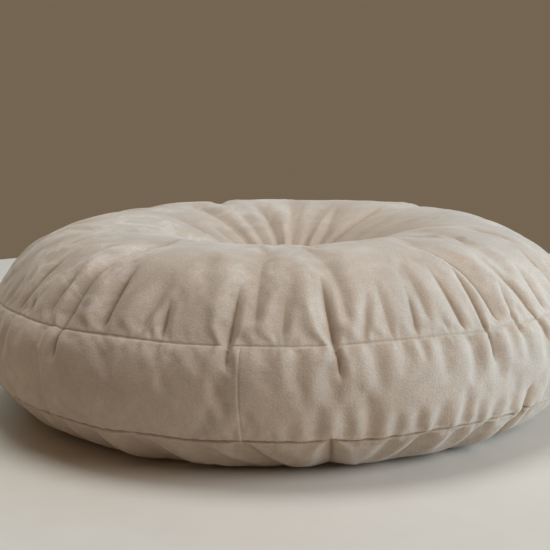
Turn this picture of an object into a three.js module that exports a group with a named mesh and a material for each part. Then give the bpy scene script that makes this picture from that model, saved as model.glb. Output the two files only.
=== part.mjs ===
// A round meditation cushion: two discs of velvet and a band, filled, and tufted through the middle
// with two covered buttons. Millimetres, +Z up, with the origin on the floor under the middle.
// Angles are in degrees from +X towards +Y, so the front of the cushion is at -90.
import * as THREE from "three";

// Driving sizes
const WIDEST = 250; // radius of the band where it bulges most
const TOP_SEAM = { radius: 238, height: 95 };
const LOW_SEAM = { radius: 241, height: 32 };
const CROWN = { radius: 145, height: 145 };
const DISH_DEPTH = 48; // how far the top panel sinks from its crown towards the tuft
const PINCH = { depth: 10, reach: 14 }; // the last steep pull beside the button
const CONTACT = { outer: 182, inner: 108 }; // the flat ring that rests on the floor
const BASE_DENT = 15; // how far the base panel is pulled up at the tuft
const BUTTON = { radius: 16, height: 8, rim: 2.5, clearance: 0.3 };
const SEAT = BUTTON.radius + 1; // the small flat under each button
const SEAM_GROOVE = { depth: 2.4, lip: 3.2, roll: 0.9 };

// Powers that shape the cross-section: the roll down to the top seam, and the roll under to the floor
const CROWN_POWER = 3;
const BASE_POWER = 2.6;
const BAND_POWER = 0.75;
const BAND_SKEW = 0.8; // below 1 puts the widest line above the middle of the band

// A fold is a rounded trough between two low shoulders.
const SHOULDER = { rise: 0.32, place: 1.9, spread: 0.9 };
const TROUGH_POWER = 1.6;

// Folds of the top panel that start at the top seam, as seen from the front. Columns: angle at the
// seam, lean in degrees for 100 mm of rise, where the fold starts and ends in mm above the seam
// (below it where negative), depth and half-width in mm.
const TOP_FOLDS = [
  { at: -135.0, lean: 3.5, low: 1, high: 34, depth: 2.2, width: 5 },
  { at: -130.3, lean: 0.5, low: -25, high: 112, depth: 4.6, width: 5 },
  { at: -122.2, lean: 2.0, low: 1, high: 46, depth: 3.2, width: 5 },
  { at: -115.0, lean: 7.0, low: 3, high: 40, depth: 1.8, width: 6 },
  { at: -110.2, lean: -1.5, low: 0, high: 28, depth: 3.0, width: 4 },
  { at: -99.0, lean: 1.4, low: -18, high: 50, depth: 5.2, width: 5 },
  { at: -94.5, lean: 0.0, low: 22, high: 96, depth: 3.6, width: 6 },
  { at: -82.3, lean: -1.2, low: -22, high: 102, depth: 5.6, width: 6 },
  { at: -68.0, lean: 1.0, low: 0, high: 64, depth: 2.8, width: 5 },
  { at: -58.4, lean: -2.3, low: 0, high: 54, depth: 3.4, width: 5 },
  { at: -52.2, lean: -1.0, low: -14, high: 78, depth: 4.8, width: 5 },
  { at: -41.5, lean: -2.2, low: 0, high: 56, depth: 3.0, width: 6 },
];

// Folds of the base panel, with the lobes that roll out between them. Here low and high are in mm
// above the low seam, so each fold starts under it at low and ends at high.
const BASE_FOLDS = [
  { at: -138.0, lean: -12, low: -46, high: 1, depth: 3.0, width: 6 },
  { at: -124.0, lean: -12, low: -46, high: 1, depth: 3.0, width: 6 },
  { at: -113.5, lean: -10, low: -50, high: 2, depth: 4.6, width: 6 },
  { at: -102.5, lean: -8, low: -42, high: 1, depth: 2.6, width: 5 },
  { at: -96.5, lean: -8, low: -52, high: 2, depth: 5.4, width: 6 },
  { at: -81.0, lean: 5, low: -54, high: 8, depth: 5.8, width: 6 },
  { at: -67.0, lean: 6, low: -44, high: 6, depth: 3.2, width: 6 },
  { at: -46.5, lean: 5, low: -50, high: 20, depth: 5.2, width: 7 },
];

// Pleats that the tuft draws into the dish all round: angle, the radius where the pleat runs out, and
// its depth. They widen outwards.
const TUFT_FOLDS = [
  { at: -130, end: 118, depth: 4.6 },
  { at: -112, end: 100, depth: 4.0 },
  { at: -96, end: 122, depth: 5.2 },
  { at: -83, end: 126, depth: 5.4 },
  { at: -66, end: 104, depth: 4.2 },
  { at: -52, end: 118, depth: 4.8 },
  { at: -33, end: 100, depth: 4.2 },
  { at: -10, end: 112, depth: 4.6 },
  { at: 16, end: 112, depth: 3.4 },
  { at: 45.5, end: 122, depth: 4.8 },
  { at: 73.5, end: 144, depth: 5.6 },
  { at: 86, end: 148, depth: 6.0 },
  { at: 100.5, end: 128, depth: 5.6 },
  { at: 128, end: 126, depth: 5.4 },
  { at: 152, end: 118, depth: 3.4 },
  { at: 172, end: 104, depth: 4.4 },
  { at: 192, end: 116, depth: 4.8 },
  { at: 213, end: 100, depth: 4.0 },
];
const PLEAT_HALF_ANGLE = 4;

// The seam folds are seen over the front sector only. The other two sectors repeat them over a wider
// angle, the first of them mirrored.
const FRONT_SECTOR = { start: -146, span: 110 };
const HIDDEN_SECTORS = [
  { start: -36, span: 125, mirrored: true },
  { start: 89, span: 125, mirrored: false },
];

// How finely the skin is drawn: columns for each fold of a kind, which all come to the same number
const TOP_FOLD_COLUMNS = 4;
const BASE_FOLD_COLUMNS = 6;
const TUFT_FOLD_COLUMNS = 8;

const radians = THREE.MathUtils.degToRad;
const smooth = (low, high, x) => THREE.MathUtils.smoothstep(x, low, high);

// Heights and radii of the unfolded cross-section
function topHeight(r) {
  if (r >= CROWN.radius) {
    const out = (r - CROWN.radius) / (TOP_SEAM.radius - CROWN.radius);
    return CROWN.height - (CROWN.height - TOP_SEAM.height) * Math.pow(out, CROWN_POWER);
  }
  const inward = (CROWN.radius - r) / (CROWN.radius - SEAT);
  const pinch = PINCH.depth * Math.exp(-(r - SEAT) / PINCH.reach);
  return CROWN.height - DISH_DEPTH * inward * inward - pinch;
}

function bandRadius(z) {
  const down = (TOP_SEAM.height - z) / (TOP_SEAM.height - LOW_SEAM.height);
  const chord = THREE.MathUtils.lerp(TOP_SEAM.radius, LOW_SEAM.radius, down);
  const skewed = Math.pow(down, BAND_SKEW);
  const bulge = WIDEST - (TOP_SEAM.radius + LOW_SEAM.radius) / 2;
  return chord + bulge * Math.pow(4 * skewed * (1 - skewed), BAND_POWER);
}

function baseHeight(r) {
  if (r >= CONTACT.outer) {
    const out = (r - CONTACT.outer) / (LOW_SEAM.radius - CONTACT.outer);
    return LOW_SEAM.height * Math.pow(out, BASE_POWER);
  }
  if (r >= CONTACT.inner) return 0;
  const inward = (CONTACT.inner - r) / (CONTACT.inner - SEAT);
  return BASE_DENT * inward * inward;
}

// The cross-section as a run of close points from the top seat to the base seat, with the length
// along it: zero at the top seam, more above it and less below it.
function crossSection() {
  const step = 1;
  const points = [];
  for (let r = SEAT; r < TOP_SEAM.radius; r += step) points.push([r, topHeight(r)]);
  const seam = points.length;
  for (let z = TOP_SEAM.height; z > LOW_SEAM.height; z -= step) points.push([bandRadius(z), z]);
  for (let r = LOW_SEAM.radius; r > SEAT; r -= step) points.push([r, baseHeight(r)]);
  points.push([SEAT, baseHeight(SEAT)]);
  const lengths = [0];
  for (let i = 1; i < points.length; i += 1) {
    const run = Math.hypot(points[i][0] - points[i - 1][0], points[i][1] - points[i - 1][1]);
    lengths.push(lengths[i - 1] - run);
  }
  return points.map(([r, z], i) => ({ r, z, length: lengths[i] - lengths[seam] }));
}

const SECTION = crossSection();
const LOW_SEAM_LENGTH = lengthAt((p) => p.z <= LOW_SEAM.height && p.length < 0);

function lengthAt(test) {
  return SECTION.find(test).length;
}

// The point of the cross-section at a length, and the way that faces out of the cushion there
function stationAt(length) {
  let i = SECTION.findIndex((p) => p.length <= length);
  i = Math.min(Math.max(i, 1), SECTION.length - 1);
  const above = SECTION[i - 1];
  const below = SECTION[i];
  const t = (above.length - length) / (above.length - below.length);
  const run = Math.hypot(below.r - above.r, below.z - above.z);
  return {
    length,
    r: THREE.MathUtils.lerp(above.r, below.r, t),
    z: THREE.MathUtils.lerp(above.z, below.z, t),
    outR: (above.z - below.z) / run,
    outZ: (below.r - above.r) / run,
  };
}

// Repeats the rows of the front sector over the hidden ones.
function allRound(rows) {
  const round = [...rows];
  for (const sector of HIDDEN_SECTORS) {
    const stretch = sector.span / FRONT_SECTOR.span;
    const side = sector.mirrored ? -1 : 1;
    for (const row of rows) {
      const across = (row.at - FRONT_SECTOR.start) * stretch;
      const at = sector.start + (sector.mirrored ? sector.span - across : across);
      round.push({ ...row, at, lean: row.lean * stretch * side });
    }
  }
  return round.sort((a, b) => a.at - b.at);
}

const ALL_TOP_FOLDS = allRound(TOP_FOLDS);
const ALL_BASE_FOLDS = allRound(BASE_FOLDS);

// Where a fold's valley runs at a rise above its seam. Past its own ends it leans no further.
function foldAngle(fold, rise) {
  const along = Math.min(Math.max(rise, fold.low), fold.high);
  return fold.at + (fold.lean * along) / 100;
}

function trough(u) {
  const shoulder = Math.exp(-Math.pow((Math.abs(u) - SHOULDER.place) / SHOULDER.spread, 2));
  return SHOULDER.rise * shoulder - Math.exp(-Math.pow(Math.abs(u), TROUGH_POWER));
}

// The smallest turn from one angle to another, between -180 and 180
const turn = (from, to) => ((((to - from) % 360) + 540) % 360) - 180;

function topFoldPush(angle, station) {
  let push = 0;
  for (const fold of ALL_TOP_FOLDS) {
    const start = smooth(fold.low, fold.low + 9, station.length);
    const end = 1 - smooth(0.3 * fold.high, fold.high, station.length);
    const across = radians(turn(foldAngle(fold, station.length), angle)) * station.r;
    push += fold.depth * start * end * trough(across / fold.width);
  }
  return push;
}

function baseFoldPush(angle, station) {
  let push = 0;
  const rise = station.length - LOW_SEAM_LENGTH;
  for (const fold of ALL_BASE_FOLDS) {
    const start = smooth(fold.low, 0.4 * fold.low, rise);
    const end = 1 - smooth(fold.high - 8, fold.high, rise);
    const across = radians(turn(foldAngle(fold, rise), angle)) * station.r;
    push += fold.depth * start * end * trough(across / fold.width);
  }
  return push;
}

function tuftFoldPush(angle, station) {
  let push = 0;
  for (const fold of TUFT_FOLDS) {
    const start = smooth(SEAT, SEAT + 22, station.r);
    const end = 1 - smooth(0.55 * fold.end, fold.end, station.r);
    push += fold.depth * start * end * trough(turn(fold.at, angle) / PLEAT_HALF_ANGLE);
  }
  return push;
}

function groovePush(rise) {
  const groove = Math.exp(-Math.pow(rise / (SEAM_GROOVE.lip / 2), 2));
  const roll = Math.exp(-Math.pow((Math.abs(rise) - SEAM_GROOVE.lip) / SEAM_GROOVE.lip, 2));
  return SEAM_GROOVE.roll * roll - SEAM_GROOVE.depth * groove;
}

const isDish = (station) => station.length > 0 && station.r < CROWN.radius + 5;

// How far the cloth stands out from the plain cross-section, in mm
function push(angle, station) {
  let out = groovePush(station.length) + groovePush(station.length - LOW_SEAM_LENGTH);
  if (station.length > LOW_SEAM_LENGTH + 30) out += topFoldPush(angle, station);
  if (station.length < 0) out += baseFoldPush(angle, station);
  if (isDish(station)) out += tuftFoldPush(angle, station);
  return out;
}

// The columns' angles at one ring. Each fold has a column along its valley and one along each
// shoulder, with the rest spread over the cloth up to the next fold.
function columnAngles(valleys, shoulders, perFold) {
  const angles = [];
  valleys.forEach((valley, i) => {
    const next = (i + 1) % valleys.length;
    const nextValley = valleys[next] + (next === 0 ? 360 : 0);
    const most = 0.3 * (nextValley - valley);
    const first = valley + Math.min(shoulders[i], most);
    const last = nextValley - Math.min(shoulders[next], most);
    angles.push(valley);
    for (let k = 0; k < perFold - 1; k += 1) {
      angles.push(THREE.MathUtils.lerp(first, last, k / (perFold - 2)));
    }
  });
  return angles;
}

function seamColumns(folds, perFold, rise, station) {
  const valleys = folds.map((fold) => foldAngle(fold, rise));
  const shoulders = folds.map(
    (fold) => SHOULDER.place * THREE.MathUtils.radToDeg(fold.width / station.r),
  );
  return columnAngles(valleys, shoulders, perFold);
}

function tuftColumns() {
  const valleys = TUFT_FOLDS.map((fold) => fold.at);
  const shoulders = TUFT_FOLDS.map(() => SHOULDER.place * PLEAT_HALF_ANGLE);
  return columnAngles(valleys, shoulders, TUFT_FOLD_COLUMNS);
}

// The columns follow the top folds at the top seam, the pleats in the dish and the base folds under
// the low seam, and pass from one to the next over the plain cloth between them.
function ringAngles(station) {
  const top = seamColumns(ALL_TOP_FOLDS, TOP_FOLD_COLUMNS, station.length, station);
  if (station.length > 0) {
    const tuft = tuftColumns();
    const share = 1 - smooth(CROWN.radius - 45, CROWN.radius + 15, station.r);
    return top.map((angle, k) => THREE.MathUtils.lerp(angle, tuft[k], share));
  }
  const rise = station.length - LOW_SEAM_LENGTH;
  const base = seamColumns(ALL_BASE_FOLDS, BASE_FOLD_COLUMNS, rise, station);
  const share = 1 - smooth(LOW_SEAM_LENGTH * 0.85, LOW_SEAM_LENGTH * 0.15, station.length);
  return top.map((angle, k) => THREE.MathUtils.lerp(angle, base[k], share));
}

// The lengths at which the skin has a ring of points, from the top seat to the base seat
function ringLengths() {
  const lip = SEAM_GROOVE.lip;
  const lengths = [];
  const dishRadii = [SEAT, 20, 27, 37, 50, 66, 84, 102, 120, 140, 160, 178, 194, 208, 219, 228];
  for (const radius of dishRadii) lengths.push(lengthAt((p) => p.r >= radius - 0.5));
  lengths.push(lip, 0, -lip);
  const bandSteps = 5;
  for (let i = 1; i < bandSteps; i += 1) {
    lengths.push(THREE.MathUtils.lerp(-lip, LOW_SEAM_LENGTH + lip, i / bandSteps));
  }
  lengths.push(LOW_SEAM_LENGTH + lip, LOW_SEAM_LENGTH, LOW_SEAM_LENGTH - lip);
  const underRadii = [235, 226, 213, 198, CONTACT.outer, CONTACT.inner, 75, 40, SEAT];
  for (const radius of underRadii) {
    lengths.push(lengthAt((p) => p.length < LOW_SEAM_LENGTH && p.r <= radius));
  }
  return lengths;
}

// The filled body: rings of points joined into one closed skin, with a flat seat at each button.
function cushionGeometry() {
  const positions = [];
  const stations = ringLengths().map(stationAt);
  for (const station of stations) {
    for (const angle of ringAngles(station)) {
      const out = push(angle, station);
      const r = station.r + out * station.outR;
      const z = Math.max(station.z + out * station.outZ, 0);
      positions.push(r * Math.cos(radians(angle)), r * Math.sin(radians(angle)), z);
    }
  }
  const columns = ALL_TOP_FOLDS.length * TOP_FOLD_COLUMNS;
  const index = [];
  for (let ring = 0; ring + 1 < stations.length; ring += 1) {
    for (let k = 0; k < columns; k += 1) {
      const a = ring * columns + k;
      const b = ring * columns + ((k + 1) % columns);
      index.push(a, a + columns, b, b, a + columns, b + columns);
    }
  }
  const topPole = positions.length / 3;
  const basePole = topPole + 1;
  const lastRing = (stations.length - 1) * columns;
  positions.push(0, 0, stations[0].z, 0, 0, stations[stations.length - 1].z);
  for (let k = 0; k < columns; k += 1) {
    const next = (k + 1) % columns;
    index.push(topPole, k, next, basePole, lastRing + next, lastRing + k);
  }
  const geometry = new THREE.BufferGeometry();
  geometry.setAttribute("position", new THREE.Float32BufferAttribute(positions, 3));
  geometry.setIndex(index);
  geometry.computeVertexNormals();
  return geometry;
}

// A covered button: a flat back, a rounded rim and a low dome.
function buttonGeometry() {
  const rimSteps = 4;
  const domeSteps = 4;
  const { radius, height, rim } = BUTTON;
  const profile = [new THREE.Vector2(0, 0)];
  for (let i = 0; i <= rimSteps; i += 1) {
    const angle = -Math.PI / 2 + (Math.PI * 0.8 * i) / rimSteps;
    const x = radius - rim + rim * Math.cos(angle);
    profile.push(new THREE.Vector2(x, rim + rim * Math.sin(angle)));
  }
  const edge = profile[profile.length - 1];
  for (let i = 1; i <= domeSteps; i += 1) {
    const inward = i / domeSteps;
    const x = i === domeSteps ? 0 : edge.x * (1 - inward);
    profile.push(new THREE.Vector2(x, edge.y + (height - edge.y) * (1 - (1 - inward) ** 2)));
  }
  const geometry = new THREE.LatheGeometry(profile, 32);
  geometry.rotateX(Math.PI / 2);
  return geometry;
}

const velvet = () => new THREE.MeshStandardMaterial({ color: 0xb0a293, roughness: 0.85, metalness: 0 });

function piece(name, geometry) {
  const mesh = new THREE.Mesh(geometry, velvet());
  mesh.name = name;
  return mesh;
}

const cushion = piece("cushion", cushionGeometry());

const buttonTop = piece("button_top", buttonGeometry());
buttonTop.position.z = topHeight(SEAT) + BUTTON.clearance;

const buttonBase = piece("button_base", buttonGeometry());
buttonBase.rotation.x = Math.PI;
buttonBase.position.z = baseHeight(SEAT) - BUTTON.clearance;

const part = new THREE.Group();
part.add(cushion, buttonTop, buttonBase);
export default part;
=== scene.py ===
# A round meditation cushion in greige velvet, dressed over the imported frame. The cloth is worked out
# in millimetres and its mesh is made in metres. Angles are in degrees from +X towards +Y, so the
# front of the cushion is at -90.
import math
from collections import namedtuple

import bpy
import numpy as np
from mathutils import Matrix, Vector


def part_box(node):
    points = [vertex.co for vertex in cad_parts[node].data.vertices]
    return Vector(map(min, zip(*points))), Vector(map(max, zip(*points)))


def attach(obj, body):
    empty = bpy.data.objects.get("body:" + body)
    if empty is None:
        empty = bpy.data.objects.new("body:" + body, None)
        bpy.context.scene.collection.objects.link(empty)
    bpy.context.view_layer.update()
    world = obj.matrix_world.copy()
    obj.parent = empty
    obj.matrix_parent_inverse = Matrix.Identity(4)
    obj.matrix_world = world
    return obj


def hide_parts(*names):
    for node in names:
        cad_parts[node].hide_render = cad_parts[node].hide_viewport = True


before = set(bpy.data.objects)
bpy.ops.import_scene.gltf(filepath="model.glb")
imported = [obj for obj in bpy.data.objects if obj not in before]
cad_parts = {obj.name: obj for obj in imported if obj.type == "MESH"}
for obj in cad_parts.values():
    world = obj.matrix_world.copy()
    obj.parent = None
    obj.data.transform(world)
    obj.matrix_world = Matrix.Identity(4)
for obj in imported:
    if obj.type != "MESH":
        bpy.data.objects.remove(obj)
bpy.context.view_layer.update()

MM = 0.001

# Sizes of the plain form, in mm, the same as the solid's. Its width and height come from the frame.
CUSHION_LOW, CUSHION_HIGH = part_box("cushion")
WIDEST = round((CUSHION_HIGH[0] - CUSHION_LOW[0]) / 2 / MM)
CROWN_RADIUS = 0.58 * WIDEST
CROWN_HEIGHT = round(CUSHION_HIGH[2] / MM)
TOP_SEAM_RADIUS, TOP_SEAM_HEIGHT = 238, 95
LOW_SEAM_RADIUS, LOW_SEAM_HEIGHT = 241, 32
DISH_DEPTH = 48
PINCH_DEPTH, PINCH_REACH = 10, 14
CONTACT_OUTER, CONTACT_INNER = 182, 108
BASE_DENT = 15
BUTTON_RADIUS, BUTTON_HEIGHT = 16, 8
SEAT = BUTTON_RADIUS + 1
CROWN_POWER = 3
BASE_POWER = 2.6
BAND_POWER = 0.75
BAND_SKEW = 0.8

# The raised cloth beside a crease: its rise as a share of the crease's depth, its place and spread in
# half-widths, and how much more of it a fold's wide side gets.
SHOULDER_RISE, SHOULDER_PLACE, SHOULDER_SPREAD = 0.32, 1.9, 0.9
RIDGE_SHARE = 1.1

# Stitches hold a fold shallow for a few mm, and it keeps a share of its depth past its seam.
SEAM_HOLD, SEAM_HOLD_REACH = 0.5, 3
BELOW_SHARE, BELOW_REACH = 0.5, 8

# The narrow line at the bottom of a sharp fold, in mm. It fades out as folds get softer.
CREASE_DEPTH, CREASE_HALF_WIDTH = 2.6, 0.9
CREASE_SOFTEST, CREASE_FADE = 1.12, 0.2

# A fold's half-width is this share of its own at the seam, plus more beside it and away from it. Its
# valley is sharper at the seam and softer away from it. Strengths below the faintest count as none.
WIDTH_AT_SEAM, WIDER_BESIDE, WIDER_AWAY = 0.5, 0.35, 0.55
SHARPER_AT_SEAM, SOFTER_AWAY = 0.15, 0.5
FAINTEST = 0.0002

# The softness of ripples and pleats, and the rise of the cloth beside a pleat as a share of its depth.
RIPPLE_SOFTNESS, PLEAT_SOFTNESS, PLEAT_RISE = 1.7, 1.12, 0.04

# Seam grooves: depth, half-width and the roll of the cloth above and below them, in mm. Then the place
# and spread of those rolls, and of the short gathers beside a seam.
TOP_GROOVE, LOW_GROOVE = (0.65, 0.55, 0.05, 0.14), (2.4, 0.85, 0.45, 0.5)
ROLL_PLACE, ROLL_SPREAD = 1.9, 1.4
PUCKER_PLACE, PUCKER_SPREAD = 4, 3.6

# The upright join seam: its angle, how far it wanders in degrees, and the half-width and depth of its
# line and the place and height of the edge beside it, in mm.
JOIN_AT, JOIN_WANDER = -97.0, 0.15
JOIN_HALF_WIDTH, JOIN_DEPTH = 0.6, 0.42
JOIN_EDGE_PLACE, JOIN_EDGE_HEIGHT = 2.0, 0.14

# Painted shade: the velvet's colour is drawn darker and warmer along creases and both seams, where shade
# and warm bounce fall. Half-widths in mm of that painted shade along a crease and both seams, its
# brightness and saturation, and its share along the top seam, which is smaller where the cloth is gathered.
PAINTED_SHADE_HALF_WIDTH, TOP_SEAM_PAINTED_SHADE, LOW_SEAM_PAINTED_SHADE = 1.5, 0.9, 1.3
PAINTED_SHADE_BRIGHTNESS, PAINTED_SHADE_WARMTH = 0.7, 1.45
TOP_SEAM_SHARE, GATHERED_LESS = 0.65, 0.5

# The folds of the top panel count down to this height in mm above the low seam.
TOP_FOLDS_LOWEST = 30

# The mesh: spacing of its columns in degrees, along a fold and between two, at the front, on the hidden
# side and along the join seam. Then that of its rings in mm, at a seam, over open cloth and underneath.
SEEN_COLUMNS, HIDDEN_COLUMNS, JOIN_COLUMNS = (0.2, 0.44), (0.7, 1.3), 0.12
SEAM_RINGS, OPEN_RINGS, UNDER_RINGS = 0.55, 3.4, 14

# The cloth simulation: its columns in degrees, the filling's pressure, the share of spare cloth in plain
# and in gathered parts, its frames, the cap on its movement in mm, and how many of the widest waves
# round the cushion are left out.
SIM_COLUMN, SIM_PRESSURE, SIM_STEPS = 1.2, 4, 15
SIM_SPARE, SIM_GATHER = 0.01, 0.05
SIM_CAP, SIM_PLAIN_WAVES = 6, 5

# What holds the cloth meanwhile: reach in mm of the stitches, the tuft and the floor, and the depth of a
# fold that holds it fully. Then the reach in mm of the spare cloth over the top and the base, the band's
# share of it, and the number of steps in both weights.
HOLD_SEAM, HOLD_TUFT, HOLD_FLOOR, HOLD_FOLD = 4, 22, 60, 3
SPARE_TOP, SPARE_BASE, SPARE_BAND = 42, 30, 0.8
WEIGHT_LEVELS = 20

# The covered button: how far its dome turns under, as a share of half a turn, the height of its middle
# and its rise as shares, and the depth in mm and number of the gathers at its rim.
DOME_TURN, DOME_MIDDLE, DOME_RISE = 0.62, 0.42, 0.58
RIM_GATHER, RIM_PLEATS = 0.18, 14

# Columns: angle at the seam, lean in degrees for 100 mm of rise and how that lean grows, where the fold
# starts and ends in mm above its seam, depth and half-width in mm, how soft its valley is (1 is a sharp
# crease), and how much wider its left side is than its right.
Fold = namedtuple("Fold", "at lean bend low high depth width soft skew")

TOP_FOLDS = [
    Fold(-166.0, 14.0, 0.0, 3, 48, 2.9, 4.7, 1.22, 0.2),
    Fold(-153.5, 3.0, 0.0, 0, 22, 1.8, 3.4, 1.22, 0),
    Fold(-146.4, 2.0, 0.0, 0, 70, 4.0, 3.6, 0.92, -0.1),
    Fold(-142.2, -4.0, 0.0, 0, 20, 2.4, 2.6, 0.95, 0),
    Fold(-136.4, 5.0, 0.0, 4, 48, 4.2, 3.9, 0.92, 0.45),
    Fold(-130.4, 0.6, 2.0, -27, 124, 5.6, 5.0, 0.9, 0.5),
    Fold(-122.2, 1.0, 0.0, 2, 66, 5.6, 5.4, 0.92, 0.5),
    Fold(-114.6, 5.5, 0.0, 3, 52, 3.2, 5.1, 1.22, 0.45),
    Fold(-112.4, 0.0, 0.0, 0, 15, 1.6, 2.6, 1.12, 0),
    Fold(-110.2, -1.4, 0.0, 1, 34, 3.4, 3.6, 0.98, 0.2),
    Fold(-98.9, 1.0, 0.0, -20, 52, 5.0, 4.5, 1.02, 0.28),
    Fold(-95.0, 0.0, 0.0, 12, 104, 3.4, 7.0, 1.22, 0.4),
    Fold(-91.6, 0.0, 0.0, 0, 12, 1.6, 2.3, 1.12, 0),
    Fold(-90.6, 0.0, 5.0, 2, 50, 2.5, 4.9, 1.40, 0.3),
    Fold(-82.3, -2.0, 0.0, -26, 60, 5.4, 4.4, 1.0, 0.35),
    Fold(-79.5, 0.0, -3.6, 12, 112, 2.4, 6.2, 1.22, 0.35),
    Fold(-77.6, 5.4, 0.0, 0, 50, 1.9, 3.8, 1.22, 0.3),
    Fold(-72.9, -1.0, 0.0, 0, 56, 1.2, 3.6, 1.2, 0.3),
    Fold(-68.6, 2.0, 0.0, 0, 46, 1.7, 3.6, 1.07, 0.35),
    Fold(-65.4, -1.0, 0.0, 8, 66, 1.6, 4.2, 1.12, 0.35),
    Fold(-63.0, 0.0, 0.0, 0, 22, 0.8, 3.4, 1.3, 0.2),
    Fold(-59.2, -2.2, 0.0, 0, 64, 2.1, 4.2, 1.02, 0.35),
    Fold(-55.0, 0.0, 0.0, -26, 66, 1.6, 2.4, 1.0, 0),
    Fold(-51.4, 0.0, -5.0, 2, 114, 4.2, 5.6, 1.0, -0.45),
    Fold(-47.4, 2.0, 0.0, -13, 38, 2.4, 3.2, 1.06, 0.2),
    Fold(-41.3, -2.0, -6.0, -22, 68, 3.4, 4.1, 1.0, 0.3),
    Fold(-37.2, 3.0, 0.0, 0, 52, 2.3, 3.9, 1.07, 0.2),
    Fold(-42.4, 3.6, 0.0, 30, 96, 1.6, 5.2, 1.50, 0),
    Fold(-57.5, 22.4, 0.0, 76, 150, 2.4, 4.2, 1.22, 0),
]

BASE_FOLDS = [
    Fold(-166.0, -8, 0, -48, 0, 3.4, 7, 1.2, 0.3),
    Fold(-152.0, -8, 0, -48, 0, 3.0, 7, 1.2, 0.3),
    Fold(-139.8, -10, 0, -50, 0, 3.8, 7, 1.05, 0.4),
    Fold(-132.8, -8, 0, -50, 0, 4.2, 7, 1.05, 0.4),
    Fold(-126.0, -12, 0, -50, -2, 3.8, 8, 1.2, 0.4),
    Fold(-118.7, -14, 0, -44, 0, 2.8, 6, 1.2, 0.4),
    Fold(-115.7, -17, 0, -60, 1, 5.6, 9, 1.0, 0.45),
    Fold(-104.6, -19, 0, -54, -3, 3.6, 8, 1.2, 0.45),
    Fold(-97.4, -14, 0, -58, 1, 5.0, 8, 1.0, 0.45),
    Fold(-83.0, -3, 0, -64, 4, 4.2, 6.4, 0.98, 0.1),
    Fold(-73.0, 6, 0, -40, 0, 2.0, 6, 1.3, -0.3),
    Fold(-67.0, 8, 0, -50, 1, 3.4, 8, 1.1, -0.3),
    Fold(-60.5, 8, 0, -34, 0, 2.0, 5, 1.3, -0.3),
    Fold(-55.0, 6, 0, -50, 1, 3.4, 7, 1.1, -0.3),
    Fold(-46.2, 1, 0, -56, 24, 2.9, 6, 1.0, 0.3),
]

# Soft ripples of the band: angle, where they start and end as distances from their seam, depth and
# half-width in mm.
Ripple = namedtuple("Ripple", "at start reach depth width")
HANGING_RIPPLES = [
    Ripple(-160.0, 0, 34, 1.2, 7), Ripple(-146.0, 0, 40, 1.6, 4), Ripple(-141.5, 0, 30, 0.9, 6),
    Ripple(-134.6, 0, 64, 1.6, 5), Ripple(-121.0, 0, 18, 0.6, 6), Ripple(-110.6, 0, 16, 0.8, 4),
    Ripple(-93.2, 0, 34, 1.0, 7), Ripple(-88.4, 0, 38, 1.9, 5), Ripple(-83.6, 12, 44, 1.9, 6),
    Ripple(-76.3, 0, 36, 1.7, 5), Ripple(-71.6, 0, 22, 1.0, 4), Ripple(-68.3, 0, 16, 1.3, 3),
    Ripple(-65.0, 0, 34, 1.5, 5), Ripple(-59.3, 0, 40, 2.4, 5), Ripple(-54.6, 0, 38, 2.6, 5),
    Ripple(-51.0, 0, 26, 1.1, 5), Ripple(-47.4, 0, 32, 1.6, 4), Ripple(-42.2, 0, 40, 1.8, 5),
    Ripple(-38.0, 0, 30, 1.1, 6),
]
RISING_RIPPLES = [
    Ripple(-158.0, 0, 30, 1.2, 7), Ripple(-145.0, 0, 32, 1.2, 6), Ripple(-134.4, 0, 34, 1.2, 5),
    Ripple(-124.0, 0, 14, 0.5, 6), Ripple(-104.0, 0, 14, 0.4, 6), Ripple(-89.6, 0, 20, 0.9, 6),
    Ripple(-85.4, 0, 26, 1.5, 5), Ripple(-81.0, 0, 32, 1.7, 5), Ripple(-77.4, 0, 38, 2.1, 6),
    Ripple(-73.0, 0, 30, 1.3, 5), Ripple(-69.4, 0, 28, 1.8, 5), Ripple(-65.7, 0, 30, 1.8, 5),
    Ripple(-60.8, 0, 30, 2.0, 4), Ripple(-58.4, 0, 28, 1.6, 4), Ripple(-54.4, 0, 26, 1.2, 5),
    Ripple(-50.4, 0, 30, 1.3, 5), Ripple(-40.5, 0, 26, 1.0, 6),
]

# Where the folds pull a seam out of line: angle, rise in mm and half-width in degrees.
Pull = namedtuple("Pull", "at rise half")
TOP_SEAM_PULLS = [
    Pull(-145.0, 1.0, 5), Pull(-119.0, 1.2, 7), Pull(-99.4, -1.1, 1.6), Pull(-82.6, -1.4, 1.5),
    Pull(-74.0, 1.2, 6), Pull(-64.0, 1.0, 5), Pull(-55.2, -1.4, 1.0), Pull(-48.6, 1.2, 3),
]
LOW_SEAM_PULLS = [
    Pull(-122.0, -2.0, 5), Pull(-104.0, -1.2, 6), Pull(-83.2, 1.4, 1.4), Pull(-78.0, -1.4, 4),
    Pull(-62.0, 1.2, 6), Pull(-46.0, 1.6, 1.6), Pull(-48.8, -1.2, 1.8),
]

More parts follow.
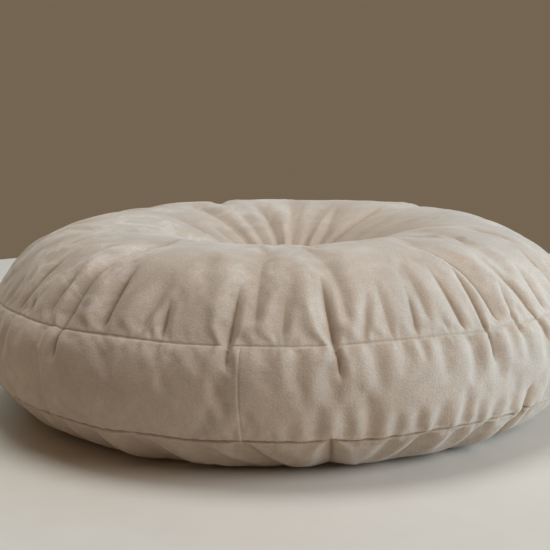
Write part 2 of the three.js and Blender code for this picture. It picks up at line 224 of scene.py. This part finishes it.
# Pleats that the tuft draws into the dish: angle where they reach the tuft, degrees they turn in 100 mm
# outward, the radius where they run out, depth in mm and half-width in degrees.
Pleat = namedtuple("Pleat", "at lean end depth half")
TUFT_FOLDS = [
    Pleat(-130, 0, 118, 4.6, 3.6), Pleat(-112, 0, 100, 4.0, 3.4), Pleat(-96, 0, 122, 5.2, 3.6),
    Pleat(-83, 0, 126, 5.4, 3.4), Pleat(-66, 0, 104, 4.2, 3.6), Pleat(-52, 0, 118, 4.8, 3.4),
    Pleat(-33, 0, 100, 4.2, 3.6), Pleat(-3, -12, 142, 3.6, 4.4), Pleat(4, 16, 112, 3.4, 4.0),
    Pleat(26, 0, 96, 2.2, 4.0), Pleat(43.6, 4, 136, 4.8, 2.8), Pleat(57.0, 14, 148, 4.4, 4.2),
    Pleat(71, 4, 182, 6.4, 2.8), Pleat(83, 4.2, 190, 7.0, 3.0), Pleat(96.6, 6.6, 156, 6.4, 3.4),
    Pleat(110.6, 4.6, 124, 3.6, 4.2), Pleat(124.0, 2, 172, 6.2, 3.2), Pleat(140, 0, 96, 2.4, 4.0),
    Pleat(152.4, -6, 136, 3.6, 3.6), Pleat(172, 0, 104, 4.4, 4.0), Pleat(192, 0, 116, 4.8, 3.6),
    Pleat(213, 0, 100, 4.0, 4.0),
]

# Where the filling has settled and the top lies lower: angle and half-width in degrees, length and reach
# of the hollow in mm, and its depth.
Hollow = namedtuple("Hollow", "at half length reach depth")
HOLLOWS = [
    Hollow(2, 36, 62, 46, 5.0), Hollow(80, 15, 92, 32, 1.9), Hollow(170, 26, 66, 30, 1.2),
    Hollow(136, 12, 84, 26, 1.0),
]

# The angle where the cloth is gathered most, the height of its chance unevenness in mm, the length where
# the pleats start to turn, and the least share of their spacing that columns keep beside each other.
FULLEST_AT = -50
LUMP_HEIGHT = 0.3
TUFT_REACH = 210
COLUMN_CROWDING = 0.35

# The seam folds are seen over the front sector only. The other two repeat them over a wider angle,
# the first of them mirrored.
FRONT_START, FRONT_SPAN = -170, 136
HIDDEN_SECTORS = [(-34, 112, True), (78, 112, False)]


# The plain cross-section

def top_height(r):
    out = np.clip((r - CROWN_RADIUS) / (TOP_SEAM_RADIUS - CROWN_RADIUS), 0, None)
    roll = (CROWN_HEIGHT - TOP_SEAM_HEIGHT) * out**CROWN_POWER
    inward = np.clip((CROWN_RADIUS - r) / (CROWN_RADIUS - SEAT), 0, None)
    pinch = PINCH_DEPTH * np.exp(-(r - SEAT) / PINCH_REACH) * (r < CROWN_RADIUS)
    return CROWN_HEIGHT - roll - DISH_DEPTH * inward**2 - pinch


def band_radius(z):
    down = np.clip((TOP_SEAM_HEIGHT - z) / (TOP_SEAM_HEIGHT - LOW_SEAM_HEIGHT), 0, 1)
    chord = TOP_SEAM_RADIUS + (LOW_SEAM_RADIUS - TOP_SEAM_RADIUS) * down
    skewed = down**BAND_SKEW
    bulge = WIDEST - (TOP_SEAM_RADIUS + LOW_SEAM_RADIUS) / 2
    return chord + bulge * (4 * skewed * (1 - skewed))**BAND_POWER


def base_height(r):
    out = np.clip((r - CONTACT_OUTER) / (LOW_SEAM_RADIUS - CONTACT_OUTER), 0, None)
    inward = np.clip((CONTACT_INNER - r) / (CONTACT_INNER - SEAT), 0, None)
    return LOW_SEAM_HEIGHT * out**BASE_POWER + BASE_DENT * inward**2


def cross_section(step=0.25):
    """Close points from the top seat to the base seat, and the length along them, zero at the top seam."""
    top = np.arange(SEAT, TOP_SEAM_RADIUS, step)
    band = np.arange(TOP_SEAM_HEIGHT, LOW_SEAM_HEIGHT, -step)
    base = np.arange(LOW_SEAM_RADIUS, SEAT - step / 2, -step)
    r = np.concatenate([top, band_radius(band), base])
    z = np.concatenate([top_height(top), band, base_height(base)])
    run = np.concatenate([[0], np.hypot(np.diff(r), np.diff(z))])
    length = -np.cumsum(run)
    return r, z, length - length[len(top)], len(top) + len(band)


SECTION_R, SECTION_Z, SECTION_LENGTH, LOW_SEAM_AT = cross_section()
LOW_SEAM = SECTION_LENGTH[LOW_SEAM_AT]
TOP_END, BASE_END = SECTION_LENGTH[0], SECTION_LENGTH[-1]


def stations(length):
    """Radius, height and outward direction of the plain cross-section at each length."""
    def at(values):
        return np.interp(-length, -SECTION_LENGTH, values)
    dr = np.gradient(SECTION_R, -SECTION_LENGTH)
    dz = np.gradient(SECTION_Z, -SECTION_LENGTH)
    size = np.hypot(dr, dz)
    return at(SECTION_R), at(SECTION_Z), at(-dz / size), at(dr / size)


# Folds, pleats and seams, as how far the cloth stands out from the plain cross-section in mm

def smooth(low, high, x):
    t = np.clip((x - low) / (high - low), 0, 1)
    return t * t * (3 - 2 * t)


def trough(u, soft, rise=SHOULDER_RISE):
    shoulder = np.exp(-(((np.abs(u) - SHOULDER_PLACE) / SHOULDER_SPREAD)**2))
    return rise * shoulder - np.exp(-(np.abs(u)**soft))


def turn(start, end):
    return (end - start + 180) % 360 - 180


def all_round(rows):
    """The front sector's rows, and the same rows over the two hidden sectors."""
    out = list(rows)
    for start, span, mirrored in HIDDEN_SECTORS:
        stretch = span / FRONT_SPAN
        for row in rows:
            across = (row.at - FRONT_START) * stretch
            moved = row._replace(at=start + (span - across if mirrored else across))
            if hasattr(row, "lean"):
                side = -1 if mirrored else 1
                moved = moved._replace(lean=row.lean * side, bend=row.bend * side, skew=row.skew * side)
            out.append(moved)
    return out


def fold_path(fold, rise):
    along = np.clip(rise, fold.low, fold.high) / 100
    return fold.at + fold.lean * along + fold.bend * along**2


def top_fading(fold, rise):
    start = smooth(fold.low, fold.low + 9, rise)
    return start * (1 - smooth(fold.high - 0.6 * (fold.high - max(fold.low, 0)), fold.high, rise))


def base_fading(fold, rise):
    return smooth(fold.low, 0.4 * fold.low, rise) * (1 - smooth(fold.high - 8, fold.high, rise))


def each_fold(folds, angle, rise, r, fading):
    """Each fold with its rings, the distance across it, its strength there and how sharp it is."""
    for fold in folds:
        strength = fading(fold, rise)
        rings = np.flatnonzero(strength[:, 0] > FAINTEST)
        if len(rings):
            part = slice(rings[0], rings[-1] + 1)
            across = np.radians(turn(fold_path(fold, rise[part]), angle[part])) * r[part]
            sharp = np.clip((CREASE_SOFTEST - fold.soft) / CREASE_FADE, 0, 1)
            yield fold, part, across, strength[part], sharp


def seam_folds(folds, angle, rise, r, fading):
    """Creases that stitches hold shallow, sharp beside their seam and wider and softer away from it."""
    total = np.zeros(np.broadcast(angle, rise).shape)
    held = 1 - SEAM_HOLD * np.exp(-((rise / SEAM_HOLD_REACH)**2))
    below = 1 - (1 - BELOW_SHARE) * smooth(0, BELOW_REACH, -rise)
    for fold, part, across, strength, sharp in each_fold(folds, angle, rise, r, fading):
        share = below[part] if fold.high > -fold.low else 1
        along = np.clip(rise[part], fold.low, fold.high)
        away = np.abs(along) / max(fold.high, -fold.low)
        side = np.where(across < 0, 1 + fold.skew, 1 - fold.skew)
        wider = WIDTH_AT_SEAM + WIDER_BESIDE * smooth(0, 12, np.abs(along)) + WIDER_AWAY * away
        width = fold.width * side * wider
        soft = fold.soft - SHARPER_AT_SEAM + SOFTER_AWAY * away
        depth = fold.depth * strength * held[part] * share
        rise_beside = SHOULDER_RISE * (1 + RIDGE_SHARE * (side - 1))
        total[part] += depth * trough(across / width, soft, rise_beside)
        total[part] -= CREASE_DEPTH * sharp * strength * np.exp(-np.abs(across) / CREASE_HALF_WIDTH)
    return total


def painted_shade(angle, length, r):
    """Painted shade along the creases and both seams, where the velvet's colour is drawn darker and warmer,
    from 0 to 1.
    """
    total = np.zeros(np.broadcast(angle, length).shape)
    sides = ((TOP_FOLDS, length, top_fading), (BASE_FOLDS, length - LOW_SEAM, base_fading))
    for folds, rise, fading in sides:
        for fold, part, across, strength, sharp in each_fold(all_round(folds), angle, rise, r, fading):
            line = strength * sharp * np.exp(-((across / PAINTED_SHADE_HALF_WIDTH)**2))
            total[part] = np.maximum(total[part], line)
    top_share = TOP_SEAM_SHARE - GATHERED_LESS * gathering(angle)
    top_seam = top_share * np.exp(-((length / TOP_SEAM_PAINTED_SHADE)**2))
    low_seam = np.exp(-(((length - LOW_SEAM) / LOW_SEAM_PAINTED_SHADE)**2))
    return np.maximum(total, top_seam + low_seam)


def top_folds(angle, length, r):
    return seam_folds(all_round(TOP_FOLDS), angle, length, r, top_fading)


def base_folds(angle, length, r):
    return seam_folds(all_round(BASE_FOLDS), angle, length - LOW_SEAM, r, base_fading)


def both_folds(angle, length, r):
    top = top_folds(angle, length, r) * (length > LOW_SEAM + TOP_FOLDS_LOWEST)
    return top + base_folds(angle, length, r) * (length < 0)


def ripples(rows, angle, away, r):
    """away is the distance from the seam that the ripples hang or rise from."""
    total = np.zeros(np.broadcast(angle, away).shape)
    for row in all_round(rows):
        ends = smooth(row.start, row.start + 5, away) * (1 - smooth(0.4 * row.reach, row.reach, away))
        across = np.radians(turn(row.at, angle)) * r
        total += row.depth * ends * trough(across / row.width, RIPPLE_SOFTNESS)
    return total


def tuft_folds(angle, length, r):
    total = np.zeros(np.broadcast(angle, length).shape)
    dish = (length > 0) & (r < CROWN_RADIUS + 35)
    for pleat in TUFT_FOLDS:
        start = smooth(SEAT, SEAT + 22, r)
        end = 1 - smooth(0.66 * pleat.end, pleat.end, r)
        path = pleat.at + pleat.lean * (TUFT_REACH - length) / 100
        across = turn(path, angle) / pleat.half
        total += pleat.depth * start * end * dish * trough(across, PLEAT_SOFTNESS, PLEAT_RISE)
    return total


def groove(rise, depth, half_width, roll_above, roll_below):
    """A narrow seam groove whose edges roll up a little on either side."""
    line = np.exp(-(np.abs(rise) / half_width)**1.3)
    above = np.exp(-(((rise - ROLL_PLACE) / ROLL_SPREAD)**2))
    below = np.exp(-(((rise + ROLL_PLACE) / ROLL_SPREAD)**2))
    return roll_above * above + roll_below * below - depth * line


def waves(count, turns, pitch, seed):
    """Chance waves: whole turns round the cushion, radians for a mm of length, and phase."""
    chance = np.random.default_rng(seed)
    return list(zip(
        chance.integers(turns[0], turns[1], count),
        2 * np.pi / chance.uniform(pitch[0], pitch[1], count) * chance.choice([-1, 1], count),
        chance.uniform(0, 2 * np.pi, count),
    ))


def ripple_sum(rows, angle, length):
    total = sum(np.cos(turns * np.radians(angle) + rate * length + phase) for turns, rate, phase in rows)
    return total / math.sqrt(len(rows))


def gathering(angle):
    """How closely the cloth is gathered into its seams: most at the right of the front."""
    return (0.5 + 0.5 * np.cos(np.radians(angle - FULLEST_AT)))**1.5


def puckers(angle, rise, seed):
    """Short gathers on both sides of a seam."""
    beside = np.exp(-(((np.abs(rise) - PUCKER_PLACE) / PUCKER_SPREAD)**2))
    wide = ripple_sum(waves(9, (110, 190), (400, 900), seed), angle, rise)
    fine = ripple_sum(waves(7, (220, 330), (300, 900), seed + 1), angle, rise)
    return beside * (0.2 + 0.8 * gathering(angle)) * (0.24 * wide + 0.14 * fine)


def lumps(angle, length, r):
    """The filling is uneven, so the cloth is nowhere quite round."""
    return smooth(40, 150, r) * LUMP_HEIGHT * ripple_sum(waves(26, (6, 26), (90, 260), 5), angle, length)


def settling(angle, length):
    total = 0
    for hollow in HOLLOWS:
        across = turn(hollow.at, angle) / hollow.half
        along = (length - hollow.length) / hollow.reach
        total = total - hollow.depth * np.exp(-(across**2 + along**2))
    return total


def join_seam(angle, length, r):
    """The upright seam where the band's ends meet."""
    across = np.radians(turn(JOIN_AT + JOIN_WANDER * np.sin(length / 17), angle)) * r
    line = np.exp(-(np.abs(across) / JOIN_HALF_WIDTH)**1.3)
    edge = np.exp(-(((across + JOIN_EDGE_PLACE) / ROLL_SPREAD)**2))
    inside = smooth(LOW_SEAM, LOW_SEAM + 3, length) * (1 - smooth(-3, 0, length))
    return inside * (JOIN_EDGE_HEIGHT * edge - JOIN_DEPTH * line)


def main_push(angle, length, r):
    """The folds and pleats that the filling presses against."""
    push = both_folds(angle, length, r)
    band = (length < 0) & (length > LOW_SEAM)
    push += ripples(HANGING_RIPPLES, angle, np.clip(-length, 0, None), r) * band
    push += ripples(RISING_RIPPLES, angle, np.clip(length - LOW_SEAM, 0, None), r) * band
    return push + tuft_folds(angle, length, r) + lumps(angle, length, r) + settling(angle, length)


def fine_push(angle, length, r):
    seams = groove(length, *TOP_GROOVE) + groove(length - LOW_SEAM, *LOW_GROOVE)
    gathers = puckers(angle, length, 11) + puckers(angle, length - LOW_SEAM, 21)
    return seams + gathers + join_seam(angle, length, r)


# Meshes

def spread(points):
    """Values through each (value, spacing) pair, with the spacing changing evenly between them."""
    values = [points[0][0]]
    for (a, gap_a), (b, gap_b) in zip(points, points[1:]):
        steps = max(1, round(abs(b - a) / ((gap_a + gap_b) / 2)))
        weights = np.linspace(gap_a, gap_b, steps)
        values.extend(a + (b - a) * np.cumsum(weights) / weights.sum())
    return np.array(values)


def ring_lengths():
    """Rings lie close at the seams and wider apart where the cloth is plain."""
    around = [(9, 2.2), (2.0, SEAM_RINGS), (-2.0, SEAM_RINGS), (-9, 2.2)]
    top = [(TOP_END, 5.0), (TOP_END - 40, 6.0), (90, 4.6), (50, OPEN_RINGS)]
    middle = [(LOW_SEAM / 2, OPEN_RINGS)]
    low = [(LOW_SEAM + offset, gap) for offset, gap in around]
    base = [(LOW_SEAM - 50, 3.8), (LOW_SEAM - 80, UNDER_RINGS), (BASE_END, UNDER_RINGS)]
    return spread(top + around + middle + low + base)


def followed_folds():
    """The folds that the columns run along, in the order of their angles."""
    return sorted((fold for fold in all_round(TOP_FOLDS) if fold.low < 15), key=lambda fold: fold.at)


def column_angles():
    """Columns lie closest along the folds of the front, and wider apart between them and at the back."""
    stops = [(JOIN_AT + aside, JOIN_COLUMNS) for aside in (-0.6, 0.6)]
    folds = followed_folds()
    for fold, after in zip(folds, folds[1:] + [folds[0]._replace(at=folds[0].at + 360)]):
        seen = FRONT_START < fold.at < FRONT_START + FRONT_SPAN
        near, between = SEEN_COLUMNS if seen else HIDDEN_COLUMNS
        stops.append((fold.at, near))
        if after.at - fold.at > 4 * near and not fold.at < JOIN_AT < after.at:
            stops.append(((fold.at + after.at) / 2, min(between, near + (after.at - fold.at) / 12)))
    stops.sort()
    return spread(stops + [(stops[0][0] + 360, stops[0][1])])[:-1]


def along_folds(lengths, angles):
    """The angle of each point, with the columns over the top following the folds that they start beside."""
    folds = followed_folds()
    starts = np.array([fold.at for fold in folds])
    paths = np.stack([fold_path(fold, lengths) for fold in folds], axis=1)
    least = COLUMN_CROWDING * starts
    paths = np.maximum.accumulate(paths - least, axis=1) + least
    aside = (paths - starts) * smooth(-40, -20, lengths)[:, None]
    return angles + np.stack([np.interp(angles, starts, row, period=360) for row in aside])


def slide(lengths, angles):
    """How far the folds pull the cloth beside each seam up or down."""
    total = np.zeros(angles.shape)
    for seam, pulls in ((0, TOP_SEAM_PULLS), (LOW_SEAM, LOW_SEAM_PULLS)):
        near = np.exp(-(((lengths - seam) / 14)**2))[:, None]
        for pull in all_round(pulls):
            total += pull.rise * near * np.exp(-((turn(pull.at, angles) / pull.half)**2))
    return total


def smooth_mesh(name, points, faces):
    mesh = bpy.data.meshes.new(name)
    mesh.from_pydata(points, [], faces)
    mesh.polygons.foreach_set("use_smooth", [True] * len(mesh.polygons))
    mesh.update()
    return mesh


def skin_mesh(name, lengths, angles, push):
    """Rings of points joined into one closed skin, with a flat seat at each end."""
    r, z, out_r, out_z = stations(lengths[:, None] + slide(lengths, angles))
    radius = r + push * out_r
    height = np.maximum(z + push * out_z, 0)
    turn_to = np.radians(angles)
    rings = np.stack([radius * np.cos(turn_to), radius * np.sin(turn_to), height], axis=2)
    poles = np.array([[0, 0, z[0, 0]], [0, 0, z[-1, 0]]])
    points = np.concatenate([rings.reshape(-1, 3), poles]) * MM
    count, columns = angles.shape
    grid = np.arange(count * columns).reshape(count, columns)
    nxt = np.roll(grid, -1, axis=1)
    quads = np.stack([grid[:-1], grid[1:], nxt[1:], nxt[:-1]], axis=2).reshape(-1, 4)
    top_pole = count * columns
    faces = quads.tolist()
    faces += [[top_pole, grid[0, k], nxt[0, k]] for k in range(columns)]
    faces += [[top_pole + 1, nxt[-1, k], grid[-1, k]] for k in range(columns)]
    return smooth_mesh(name, points.tolist(), faces)


def place(name, mesh, material):
    piece = bpy.data.objects.new(name, mesh)
    piece.data.materials.append(material)
    bpy.context.scene.collection.objects.link(piece)
    return piece


def cubic(values, position):
    """Values at fractional positions along each row, on a smooth curve through those given."""
    at = np.clip(np.floor(position).astype(int), 1, values.shape[1] - 3)
    t = position - at
    before, here, there, beyond = (np.take_along_axis(values, at + step, axis=1) for step in (-1, 0, 1, 2))
    bend = 2 * before - 5 * here + 4 * there - beyond
    twist = 3 * (here - there) + beyond - before
    return here + 0.5 * t * (there - before + t * (bend + t * twist))


def held_share(angle, length, r):
    """How firmly stitches, creases, tuft and floor hold the cloth while it swells."""
    folds = both_folds(angle, length, r)
    held = np.exp(-((length / HOLD_SEAM)**2)) + np.exp(-(((length - LOW_SEAM) / HOLD_SEAM)**2))
    held = held + (r < SEAT + HOLD_TUFT) + (length < LOW_SEAM - HOLD_FLOOR)
    return np.clip(held + np.clip(-folds / HOLD_FOLD, 0, 1), 0, 1)


def gathered_share(angle, length):
    """How much spare cloth there is: most beside the seams, where the right of the front is gathered."""
    top = np.exp(-((length / SPARE_TOP)**2)) * (length > 0)
    band = SPARE_BAND * (length <= 0) * (length > LOW_SEAM)
    base = np.exp(-(((length - LOW_SEAM) / SPARE_BASE)**2)) * (length <= LOW_SEAM)
    return (top + band + base) * gathering(angle)


def weigh(piece, name, shares):
    group = piece.vertex_groups.new(name=name)
    for level in range(1, WEIGHT_LEVELS + 1):
        chosen = np.flatnonzero(np.round(shares.ravel() * WEIGHT_LEVELS) == level)
        group.add(chosen.tolist(), level / WEIGHT_LEVELS, "REPLACE")
    return name


def swell(lengths, angles):
    """How far the filling presses the cloth out between its seams and creases, from a cloth simulation.

    The plain cross-section is already that of a filled cushion, so the widest waves are left out.
    """
    scene = bpy.context.scene
    top = [(TOP_END, 9), (140, 5), (70, 4)]
    rings = spread(top + [(LOW_SEAM - 50, 4), (LOW_SEAM - 90, 12), (BASE_END, 12)])
    columns = np.arange(-180, 180, SIM_COLUMN)
    r, _, out_r, out_z = stations(rings)
    length = rings[:, None]
    angle = np.broadcast_to(columns, (len(rings), len(columns)))
    start = skin_mesh("mould", rings, angle, main_push(angle, length, r[:, None]))
    mould = bpy.data.objects.new("mould", start)
    scene.collection.objects.link(mould)
    cloth = mould.modifiers.new("cloth", "CLOTH")
    cloth.settings.quality = 4
    cloth.settings.vertex_group_mass = weigh(mould, "held", held_share(angle, length, r[:, None]))
    cloth.settings.vertex_group_shrink = weigh(mould, "gathered", gathered_share(angle, length))
    cloth.settings.shrink_min = -SIM_SPARE
    cloth.settings.shrink_max = -SIM_GATHER
    cloth.settings.use_pressure = True
    cloth.settings.uniform_pressure_force = SIM_PRESSURE
    cloth.settings.effector_weights.gravity = 0
    cloth.collision_settings.use_collision = False
    before = vertex_places(mould.data)
    for step in range(1, SIM_STEPS + 1):
        scene.frame_set(step)
    after = vertex_places(mould.evaluated_get(bpy.context.evaluated_depsgraph_get()).data)
    scene.frame_set(1)
    bpy.data.objects.remove(mould)
    moved = (after - before)[:-2].reshape(len(rings), len(columns), 3) / MM
    turn_to = np.radians(columns)
    sideways = moved[:, :, 0] * np.cos(turn_to) + moved[:, :, 1] * np.sin(turn_to)
    out = sideways * out_r[:, None] + moved[:, :, 2] * out_z[:, None]
    waves_round = np.fft.rfft(out, axis=1)
    waves_round[:, :SIM_PLAIN_WAVES] = 0
    out = np.clip(np.fft.irfft(waves_round, len(columns), axis=1), -SIM_CAP, SIM_CAP)
    wrapped = np.concatenate([out[:, -3:], out, out[:, :3]], axis=1)
    ring_place = np.interp(-lengths, -rings, np.arange(len(rings)))
    along = cubic(wrapped.T, np.broadcast_to(ring_place, (wrapped.shape[1], len(lengths)))).T
    return cubic(along, (angles + 180) % 360 / SIM_COLUMN + 3)


def vertex_places(mesh):
    places = np.empty(len(mesh.vertices) * 3)
    mesh.vertices.foreach_get("co", places)
    return places.reshape(-1, 3)


def make_cushion(material):
    lengths = ring_lengths()
    angles = along_folds(lengths, column_angles())
    r = stations(lengths)[0][:, None]
    push = main_push(angles, lengths[:, None], r)
    push += swell(lengths, angles)
    push += fine_push(angles, lengths[:, None], r)
    mesh = skin_mesh("cushion_cloth", lengths, angles, push)
    # Painted shade along creases and seams, kept on the mesh for the velvet's colour.
    painted_shade_values = np.concatenate([painted_shade(angles, lengths[:, None], r).ravel(), [0, 0]])
    mesh.attributes.new("painted_shade", "FLOAT", "POINT").data.foreach_set("value", painted_shade_values.astype(np.float32))
    return place("cushion_cloth", mesh, material)


def make_button(name, node, facing, material):
    """A covered button: its cloth is stretched over a dome, and gathered in small folds at the rim."""
    low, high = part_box(node)
    columns, rings = 96, 26
    around = np.linspace(0, 2 * math.pi, columns, endpoint=False)
    points = [(0, 0, BUTTON_HEIGHT)]
    for share in np.arange(1, rings) / rings:
        bend = share * math.pi * DOME_TURN
        radius = BUTTON_RADIUS * 0.985 * math.sin(bend)**0.9
        gather = RIM_GATHER * share**6 * np.cos(RIM_PLEATS * around + 3 * np.sin(2 * around))
        height = BUTTON_HEIGHT * (DOME_MIDDLE + DOME_RISE * math.cos(bend))
        for angle, fold in zip(around, gather):
            out = radius + fold
            points.append((out * math.cos(angle), out * math.sin(angle), max(height, 0)))
    under = len(points)
    points.append((0, 0, 0))
    faces = [(0, 1 + k, 1 + (k + 1) % columns) for k in range(columns)]
    last = under - columns
    faces += [(under, last + (k + 1) % columns, last + k) for k in range(columns)]
    for ring in range(rings - 2):
        for k in range(columns):
            a, b = 1 + ring * columns + k, 1 + ring * columns + (k + 1) % columns
            faces.append((a, a + columns, b + columns, b))
    seat = low[2] if facing > 0 else high[2]
    moved = [(x * MM, y * facing * MM, seat + z * facing * MM) for x, y, z in points]
    return place(name, smooth_mesh(name, moved, faces), material)


# Materials

# Where the brushed marks fade out in metres, across to the right and down the side.
MARKS_ACROSS, MARKS_DOWN = (-0.12, 0.06), (0.085, 0.115)


def velvet(name, base, sheen):
    material = bpy.data.materials.new(name)
    material.use_nodes = True
    nodes, links = material.node_tree.nodes, material.node_tree.links
    surface = nodes["Principled BSDF"]
    surface.inputs["Sheen Weight"].default_value = sheen
    surface.inputs["Sheen Roughness"].default_value = 0.42
    surface.inputs["Sheen Tint"].default_value = (0.95, 0.85, 0.78, 1)
    surface.inputs["Specular IOR Level"].default_value = 0.15
    place_in = nodes.new("ShaderNodeTexCoord")

    def noise(scale, detail, roughness, distortion=0.0):
        node = nodes.new("ShaderNodeTexNoise")
        node.inputs["Scale"].default_value = scale
        node.inputs["Detail"].default_value = detail
        node.inputs["Roughness"].default_value = roughness
        node.inputs["Distortion"].default_value = distortion
        links.new(place_in.outputs["Object"], node.inputs["Vector"])
        return node.outputs["Fac"]

    def ranged(value, low, high, to_low, to_high):
        node = nodes.new("ShaderNodeMapRange")
        node.inputs["From Min"].default_value = low
        node.inputs["From Max"].default_value = high
        node.inputs["To Min"].default_value = to_low
        node.inputs["To Max"].default_value = to_high
        links.new(value, node.inputs["Value"])
        return node.outputs["Result"]

    def times(a, b):
        node = nodes.new("ShaderNodeMath")
        node.operation = "MULTIPLY"
        links.new(a, node.inputs[0])
        links.new(b, node.inputs[1])
        return node.outputs["Value"]

    def apart(value, middle):
        node = nodes.new("ShaderNodeMath")
        node.operation = "SUBTRACT"
        links.new(value, node.inputs[0])
        node.inputs[1].default_value = middle
        size = nodes.new("ShaderNodeMath")
        size.operation = "ABSOLUTE"
        links.new(node.outputs["Value"], size.inputs[0])
        return size.outputs["Value"]

    patches = ranged(noise(9, 4, 0.55, 1.2), 0.3, 0.7, 0.90, 1.10)
    strokes = ranged(noise(38, 5, 0.62, 2.2), 0.3, 0.7, 0.93, 1.07)
    fibres = ranged(noise(1100, 2, 0.6), 0.25, 0.75, 0.87, 1.13)
    marks = ranged(apart(noise(26, 4, 0.6, 0.8), 0.5), 0.0, 0.1, 1.0, 0.0)
    parts = nodes.new("ShaderNodeSeparateXYZ")
    links.new(place_in.outputs["Object"], parts.inputs["Vector"])
    upper_left = times(ranged(parts.outputs["X"], *MARKS_ACROSS, 1.0, 0.15),
                       ranged(parts.outputs["Z"], *MARKS_DOWN, 0.1, 1.0))
    brushed = times(ranged(noise(11, 3, 0.55, 0.8), 0.46, 0.56, 0.0, 1.0), upper_left)
    brushed_marks = times(marks, brushed)
    # Painted shade: the colour is drawn darker and warmer along the cushion's creases and seams, from the
    # values kept on its mesh.
    painted_shade_map = nodes.new("ShaderNodeAttribute")
    painted_shade_map.attribute_name = "painted_shade"
    shade = times(times(times(patches, strokes), fibres), ranged(brushed_marks, 0.0, 1.0, 1.0, 1.22))
    shade = times(shade, ranged(painted_shade_map.outputs["Fac"], 0.0, 1.0, 1.0, PAINTED_SHADE_BRIGHTNESS))
    colour = nodes.new("ShaderNodeHueSaturation")
    colour.inputs["Color"].default_value = (*base, 1)
    links.new(shade, colour.inputs["Value"])
    warmth = ranged(painted_shade_map.outputs["Fac"], 0.0, 1.0, 1.0, PAINTED_SHADE_WARMTH)
    links.new(times(ranged(brushed_marks, 0.0, 1.0, 1.0, 0.72), warmth), colour.inputs["Saturation"])
    links.new(colour.outputs["Color"], surface.inputs["Base Color"])
    links.new(ranged(noise(60, 3, 0.5), 0.3, 0.7, 0.82, 0.96), surface.inputs["Roughness"])

    bump = nodes.new("ShaderNodeBump")
    bump.inputs["Strength"].default_value = 0.5
    bump.inputs["Distance"].default_value = 0.0008
    links.new(noise(620, 3, 0.65), bump.inputs["Height"])
    links.new(bump.outputs["Normal"], surface.inputs["Normal"])
    return material


def floor_material():
    material = bpy.data.materials.new("floor_pale")
    material.use_nodes = True
    nodes, links = material.node_tree.nodes, material.node_tree.links
    surface = nodes["Principled BSDF"]
    surface.inputs["Roughness"].default_value = 0.9
    grain = nodes.new("ShaderNodeTexNoise")
    grain.inputs["Scale"].default_value = 60
    ramp = nodes.new("ShaderNodeValToRGB")
    ramp.color_ramp.elements[0].color = (0.65, 0.585, 0.51, 1)
    ramp.color_ramp.elements[1].color = (0.69, 0.625, 0.55, 1)
    links.new(grain.outputs["Fac"], ramp.inputs["Fac"])
    links.new(ramp.outputs["Color"], surface.inputs["Base Color"])
    return material


# Stage, camera and light

LIGHT_AIM, LIGHT_SIZE = (0, 0, 0.07), 1.3


def make_floor():
    rim = 96
    radius = 0.80
    drop = 0.0003
    ring = [(radius * math.cos(2 * math.pi * k / rim), radius * math.sin(2 * math.pi * k / rim), -drop)
            for k in range(rim)]
    mesh = bpy.data.meshes.new("floor")
    mesh.from_pydata(ring, [], [list(range(rim))])
    floor = place("floor", mesh, floor_material())


def make_camera():
    """The photograph's view: about a metre away, sixteen degrees up."""
    eye = Vector((0, -0.9618, 0.2737))
    pitch, yaw, roll = 0.18, -0.0091, -0.0093
    look = Vector((math.sin(yaw) * math.cos(pitch), math.cos(yaw) * math.cos(pitch), -math.sin(pitch)))
    flat_right = Vector((math.cos(yaw), -math.sin(yaw), 0))
    flat_up = flat_right.cross(look)
    right = math.cos(roll) * flat_right + math.sin(roll) * flat_up
    up = math.cos(roll) * flat_up - math.sin(roll) * flat_right
    data = bpy.data.cameras.new("camera")
    focal_pixels, frame_pixels = 1157.7, 550
    data.sensor_width = 36
    data.lens = data.sensor_width * focal_pixels / frame_pixels
    camera = bpy.data.objects.new("camera", data)
    turned = Matrix((right, up, -look)).transposed()
    camera.matrix_world = Matrix.Translation(eye) @ turned.to_4x4()
    bpy.context.scene.collection.objects.link(camera)
    bpy.context.scene.camera = camera


def area_light(name, place_at, power, colour):
    """A large disc, aimed at the middle of the cushion and hidden from the camera."""
    data = bpy.data.lights.new(name, "AREA")
    data.shape = "DISK"
    data.size = LIGHT_SIZE
    data.energy = power
    data.color = colour
    light = bpy.data.objects.new(name, data)
    light.location = place_at
    light.rotation_mode = "QUATERNION"
    light.rotation_quaternion = (Vector(LIGHT_AIM) - Vector(place_at)).to_track_quat("-Z", "Y")
    light.visible_camera = False
    bpy.context.scene.collection.objects.link(light)


def make_light():
    area_light("key", (1.76, -1.02, 1.08), 27.2, (0.93, 0.97, 1.0))
    area_light("side", (2.28, 0, 0.32), 46, (0.36, 0.70, 1.0))
    area_light("overhead", (0, 0, 2.3), 26.5, (0.87, 0.93, 0.97))
    area_light("back", (-1.02, 1.76, 1.08), 9.5, (0.58, 0.87, 1.0))
    world = bpy.data.worlds.new("backdrop")
    bpy.context.scene.world = world
    world.use_nodes = True
    sky = world.node_tree.nodes["Background"]
    sky.inputs["Color"].default_value = (0.175, 0.131, 0.086, 1)
    sky.inputs["Strength"].default_value = 1.0
    bpy.context.scene.view_settings.view_transform = "Standard"


make_camera()
make_floor()
make_light()

GREIGE, SHEEN = (0.518, 0.420, 0.338), 0.35
cloth_finish = velvet("velvet", GREIGE, SHEEN)
button_finish = velvet("button_velvet", GREIGE, SHEEN)

cushion = make_cushion(cloth_finish)
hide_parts("cushion")
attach(cushion, "root")

for name, node, facing in (("tuft_button", "button_top", 1), ("tie_button", "button_base", -1)):
    button = make_button(name, node, facing, button_finish)
    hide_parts(node)
    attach(button, "root")
